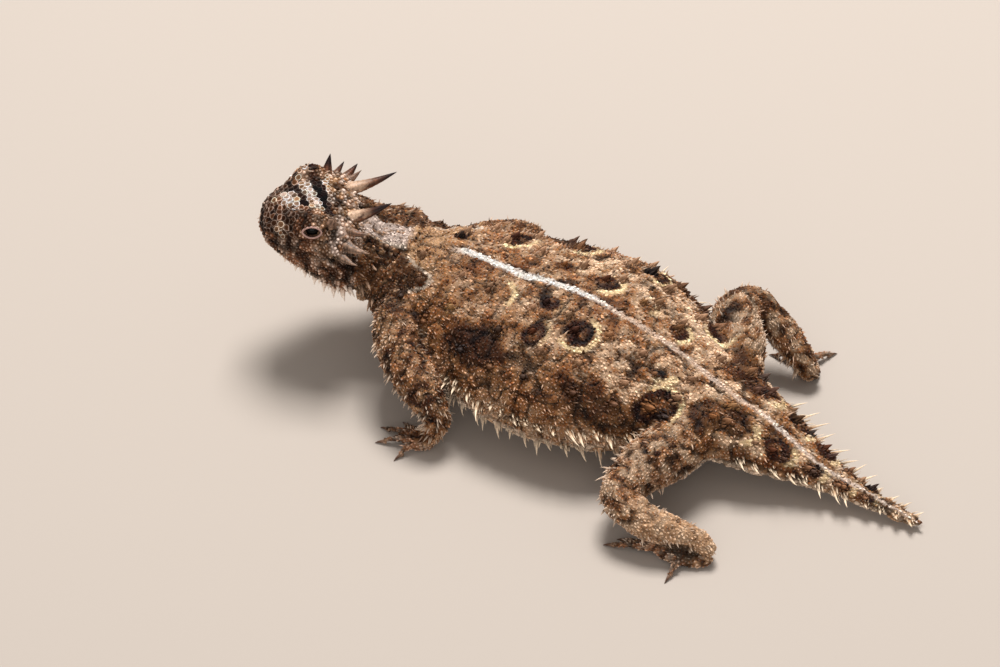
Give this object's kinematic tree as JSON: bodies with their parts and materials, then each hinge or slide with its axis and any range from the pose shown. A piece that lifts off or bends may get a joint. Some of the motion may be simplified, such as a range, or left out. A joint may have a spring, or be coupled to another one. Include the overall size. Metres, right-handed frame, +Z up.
{
  "type": "horned lizard",
  "caption": "Life-size horned lizard standing with its head raised: flat spiny body with fringe scales, crown of horns, short tail and splayed legs.",
  "frame": {"origin": "middle of the box round the animal, on the plane its feet stand on", "axes": "+Z up, -X towards the head, -Y towards the animal's left side"},
  "size_m": [0.1166, 0.0654, 0.0304],
  "materials": {
    "skin": "dry matt scales, tan and brown with dark blotches and pale crescents",
    "horn": "dull keratin, pinkish tan at the root and dark brown at the tip",
    "eye": "wet gloss"
  },
  "bodies": {
    "root": {"head": "skin", "neck": "skin", "torso": "skin", "tail_base": "skin", "tail_tip": "skin", "eye_left": "eye", "eye_right": "eye", "occipital_horn_left": "horn", "occipital_horn_right": "horn", "temporal_horn_left_1": "horn", "temporal_horn_left_2": "horn", "temporal_horn_left_3": "horn", "temporal_horn_right_1": "horn", "temporal_horn_right_2": "horn", "temporal_horn_right_3": "horn", "brow_horn_left": "horn", "brow_horn_right": "horn", "foreleg_left_upper_arm": "skin", "foreleg_left_forearm": "skin", "foreleg_left_hand": "skin", "foreleg_right_upper_arm": "skin", "foreleg_right_forearm": "skin", "foreleg_right_hand": "skin", "hindleg_left_thigh": "skin", "hindleg_left_shank": "skin", "hindleg_left_foot": "skin", "hindleg_right_thigh": "skin", "hindleg_right_shank": "skin", "hindleg_right_foot": "skin"}
  },
  "joints": []
}
